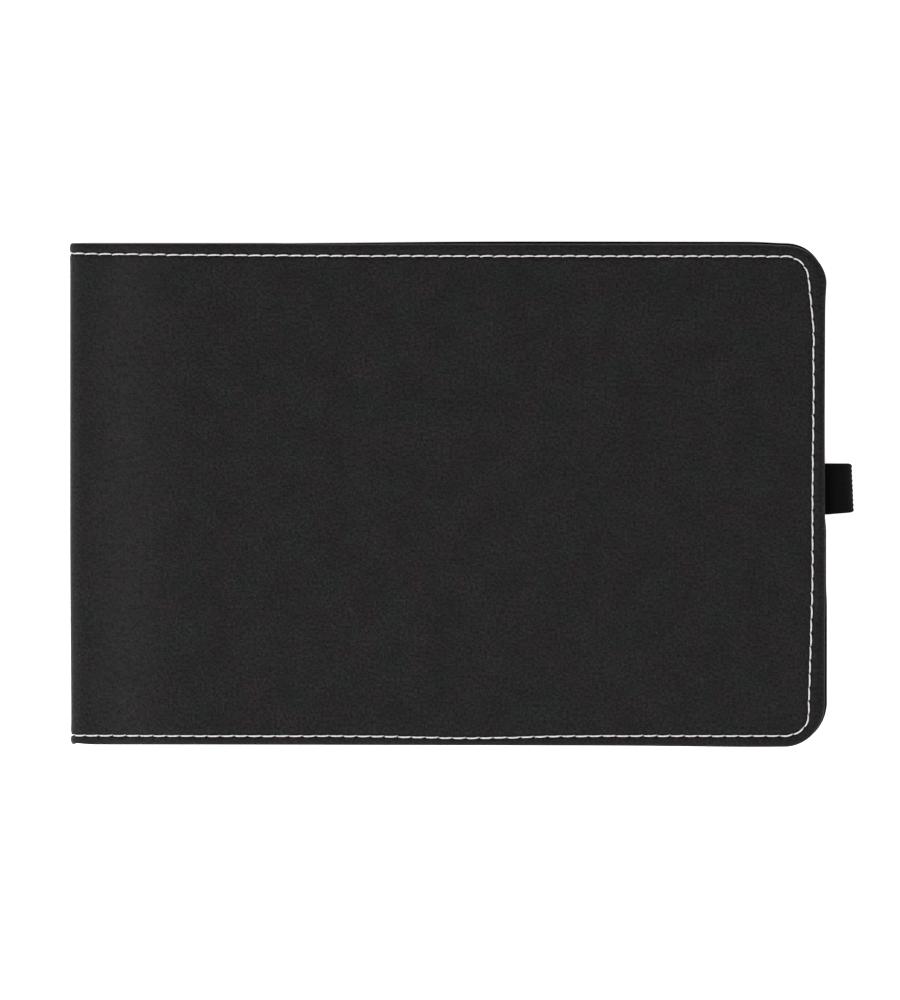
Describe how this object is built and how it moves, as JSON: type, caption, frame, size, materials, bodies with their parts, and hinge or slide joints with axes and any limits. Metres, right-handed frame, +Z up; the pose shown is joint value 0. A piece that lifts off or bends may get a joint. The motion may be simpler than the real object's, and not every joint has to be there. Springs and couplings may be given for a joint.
{
  "type": "pocket notebook",
  "caption": "Pocket notebook with stitched soft black covers, rounded fore-edge corners, sewn page sections and an elastic pen loop.",
  "frame": {"origin": "middle of the back cover's underside, which the closed notebook rests on", "axes": "+X from the spine to the fore-edge, +Y from the tail to the head, +Z up through the front cover"},
  "size_m": [0.158, 0.1015, 0.0132],
  "materials": {
    "leatherette": "matte",
    "board": "matte",
    "lining": "matte",
    "thread": "matte",
    "elastic": "matte",
    "paper": "matte",
    "mull": "matte"
  },
  "bodies": {
    "book_block": {"spine_skin": "leatherette", "spine_lining": "lining", "spine_mull": "mull", "spine_seam_thread_tail": "thread", "spine_seam_thread_head": "thread", "sewing_thread_1": "thread", "sewing_thread_2": "thread", "sewing_thread_3": "thread", "sewing_thread_4": "thread", "page_section_3": "paper", "page_section_4": "paper", "page_section_5": "paper", "page_section_6": "paper"},
    "front_cover": {"front_cover_skin": "leatherette", "front_cover_board": "board", "front_cover_lining": "lining", "front_seam_needle_thread": "thread", "front_seam_bobbin_thread": "thread"},
    "back_cover": {"back_cover_skin": "leatherette", "back_cover_board": "board", "back_cover_lining": "lining", "back_seam_needle_thread": "thread", "back_seam_bobbin_thread": "thread", "pen_loop_tail": "elastic"},
    "pen_loop": {"pen_loop": "elastic"},
    "front_flyleaf": {"front_flyleaf": "paper"},
    "rear_flyleaf": {"rear_flyleaf": "paper"},
    "page_section_1": {"page_section_1": "paper"},
    "page_section_2": {"page_section_2": "paper"}
  },
  "joints": [
    {"name": "front_cover_hinge", "type": "hinge", "parent": "book_block", "child": "front_cover", "pos_m": [-0.0765, 0, 0.01085], "axis": [0, -1, 0], "range_deg": [0, 179.5]},
    {"name": "back_cover_hinge", "type": "hinge", "parent": "book_block", "child": "back_cover", "pos_m": [-0.0765, 0, 0.00235], "axis": [0, 1, 0], "range_deg": [0, 179.5]},
    {"name": "front_flyleaf_turn", "type": "hinge", "parent": "book_block", "child": "front_flyleaf", "pos_m": [-0.0738, 0, 0.0106], "axis": [0, -1, 0], "range_deg": [0, 117]},
    {"name": "page_section_1_turn", "type": "hinge", "parent": "book_block", "child": "page_section_1", "pos_m": [-0.07303, 0, 0.00972], "axis": [0, -1, 0], "range_deg": [0, 76]},
    {"name": "page_section_2_turn", "type": "hinge", "parent": "book_block", "child": "page_section_2", "pos_m": [-0.07303, 0, 0.00847], "axis": [0, -1, 0], "range_deg": [0, 17]},
    {"name": "rear_flyleaf_turn", "type": "hinge", "parent": "book_block", "child": "rear_flyleaf", "pos_m": [-0.0738, 0, 0.0026], "axis": [0, 1, 0], "range_deg": [0, 117]},
    {"name": "pen_loop_flex", "type": "hinge", "parent": "back_cover", "child": "pen_loop", "pos_m": [0.0772, 0.001, 0.00125], "axis": [0, 1, 0], "range_deg": [0, 20], "stiffness_Nm_per_rad": 0.005}
  ],
  "couplings": [
    {"joint": "front_flyleaf_turn", "follows": "front_cover_hinge", "ratio": 0.65},
    {"joint": "page_section_1_turn", "follows": "front_cover_hinge", "ratio": 0.42},
    {"joint": "page_section_2_turn", "follows": "front_cover_hinge", "ratio": 0.09},
    {"joint": "rear_flyleaf_turn", "follows": "back_cover_hinge", "ratio": 0.65}
  ]
}
